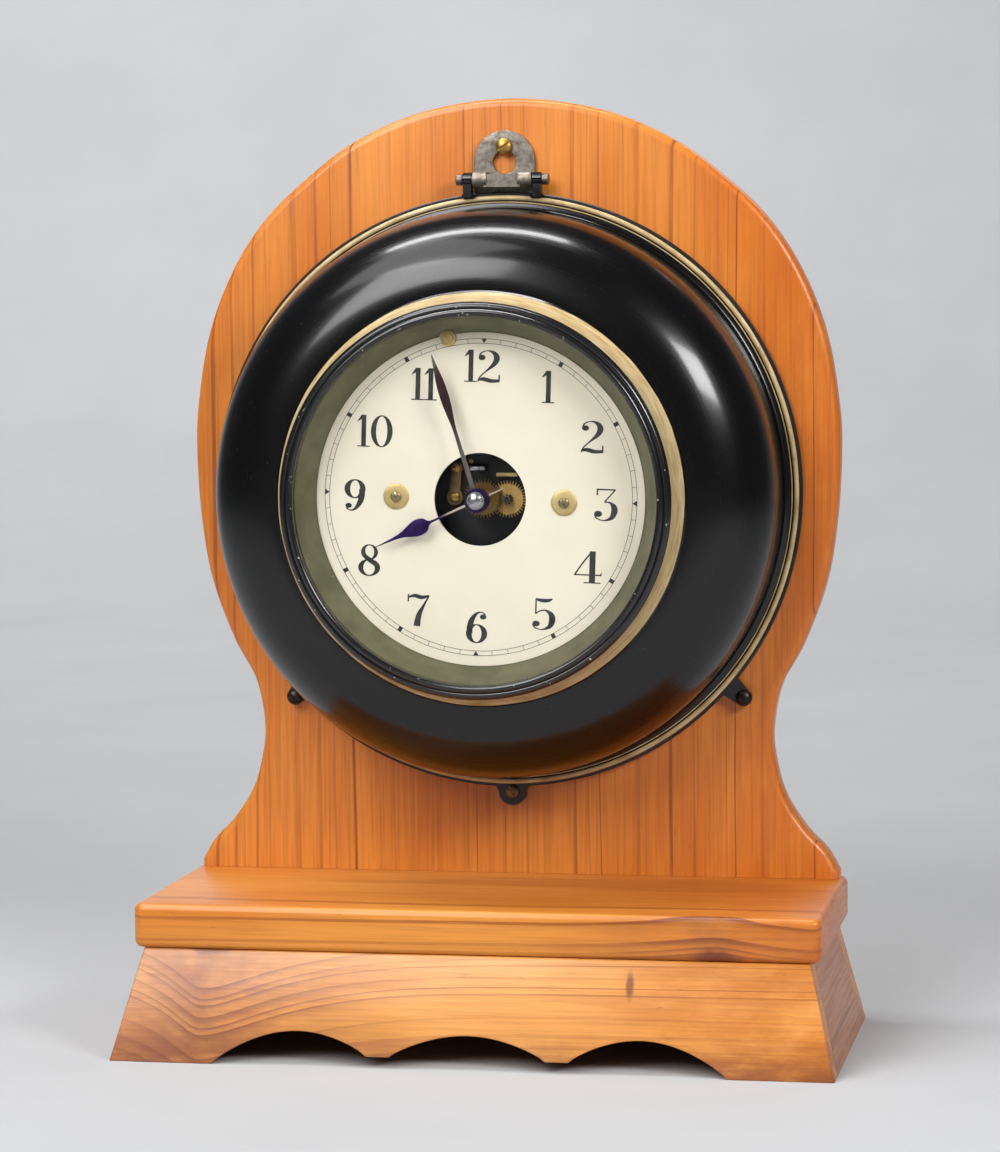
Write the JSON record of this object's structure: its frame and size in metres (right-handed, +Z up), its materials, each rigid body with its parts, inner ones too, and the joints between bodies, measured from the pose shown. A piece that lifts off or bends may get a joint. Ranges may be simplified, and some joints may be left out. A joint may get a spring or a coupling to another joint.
{
  "type": "electric pendulum clock",
  "caption": "Round black battery pendulum wall clock with open-centre cream dial, lift-up glazed front, hands and wheel train, hung on a shaped wooden backboard with shelf and plinth.",
  "frame": {"origin": "middle of the plinth footprint, on the floor", "axes": "+X to the right seen from the front, -Y towards the viewer, +Z up"},
  "size_m": [0.374, 0.172, 0.4955],
  "materials": {
    "wood": "lacquered softwood",
    "black": "black enamelled sheet",
    "darksteel": "darkened",
    "cast": "grey cast",
    "steel": "bright",
    "brass": "satin",
    "cream": "matt cream paint",
    "olive": "matt olive paint",
    "glass": "clear flat pane",
    "blued": "blued",
    "copper": "enamelled winding",
    "magnet": "red paint",
    "paper": "plain wrapped cell"
  },
  "bodies": {
    "stand": {"backboard": "wood", "shelf": "wood", "front_apron": "wood", "side_panel_left": "wood", "side_panel_right": "wood", "rear_panel": "wood", "hanger_bracket": "cast", "hanger_screw": "brass", "hinge_pin": "darksteel", "back_plate": "black", "lug_screw_left": "darksteel", "lug_screw_right": "darksteel", "lug_screw_bottom": "brass", "pillar_1": "brass", "pillar_2": "brass", "pillar_3": "brass", "pillar_4": "brass", "movement_plate_rear": "brass", "movement_plate_front": "black", "dial_post_left": "brass", "dial_post_right": "brass", "dial_post_top": "brass", "dial": "cream", "dial_washer_left": "brass", "dial_washer_right": "brass", "dial_screw_left": "brass", "dial_screw_right": "brass", "dial_edge_screw": "brass", "motion_cock": "brass", "cock_screw_lower": "brass", "cock_screw_upper": "brass", "steel_block": "steel", "brass_lever": "brass", "suspension_block": "brass", "magnet": "magnet", "magnet_bracket_left": "brass", "magnet_bracket_right": "brass", "battery": "paper", "battery_clip": "steel"},
    "cover": {"case_shell": "black", "hinge_lug_left": "black", "hinge_lug_right": "black", "bezel": "black", "glass": "glass", "reveal_ring": "olive"},
    "minute": {"cannon_pinion": "steel", "minute_hand": "blued", "minute_collet": "blued", "centre_nut": "steel"},
    "centre": {"centre_arbor": "brass"},
    "hour": {"hour_wheel": "brass", "hour_hand": "blued"},
    "motion": {"minute_wheel": "brass"},
    "third": {"third_wheel": "brass"},
    "ratchet": {"ratchet_wheel": "brass"},
    "pendulum": {"pendulum_rod": "steel", "pendulum_coil": "copper"},
    "fork": {"contact_fork": "brass"}
  },
  "joints": [
    {"name": "cover_hinge", "type": "hinge", "parent": "stand", "child": "cover", "pos_m": [-0.0028, 0.0514, 0.4522], "axis": [-1, 0, 0], "range_deg": [0, 85]},
    {"name": "minute_turn", "type": "hinge", "parent": "stand", "child": "minute", "pos_m": [-0.0028, -0.01, 0.2862], "axis": [0, 1, 0], "continuous": true},
    {"name": "hour_turn", "type": "hinge", "parent": "stand", "child": "hour", "pos_m": [-0.0028, -0.015, 0.2862], "axis": [0, 1, 0], "continuous": true},
    {"name": "motion_turn", "type": "hinge", "parent": "stand", "child": "motion", "pos_m": [0.00969, -0.008, 0.2857], "axis": [0, 1, 0], "continuous": true},
    {"name": "centre_turn", "type": "hinge", "parent": "stand", "child": "centre", "pos_m": [-0.0028, 0.01, 0.2862], "axis": [0, 1, 0], "continuous": true},
    {"name": "third_turn", "type": "hinge", "parent": "stand", "child": "third", "pos_m": [-0.01068, 0.012, 0.30502], "axis": [0, 1, 0], "continuous": true},
    {"name": "ratchet_turn", "type": "hinge", "parent": "stand", "child": "ratchet", "pos_m": [-0.0028, 0.014, 0.3222], "axis": [0, 1, 0], "continuous": true},
    {"name": "pendulum_swing", "type": "hinge", "parent": "stand", "child": "pendulum", "pos_m": [-0.0028, 0.0346, 0.3862], "axis": [0, 1, 0], "range_deg": [-6, 6]},
    {"name": "fork_swing", "type": "hinge", "parent": "stand", "child": "fork", "pos_m": [-0.0028, 0.0292, 0.3482], "axis": [0, 1, 0], "range_deg": [-6.8, 6.8]}
  ],
  "couplings": [
    {"joint": "hour_turn", "follows": "minute_turn", "ratio": 0.083333},
    {"joint": "motion_turn", "follows": "minute_turn", "ratio": -0.33333},
    {"joint": "third_turn", "follows": "ratchet_turn", "ratio": -0.125},
    {"joint": "centre_turn", "follows": "ratchet_turn", "ratio": 0.016667},
    {"joint": "fork_swing", "follows": "pendulum_swing", "ratio": -1.1111}
  ]
}
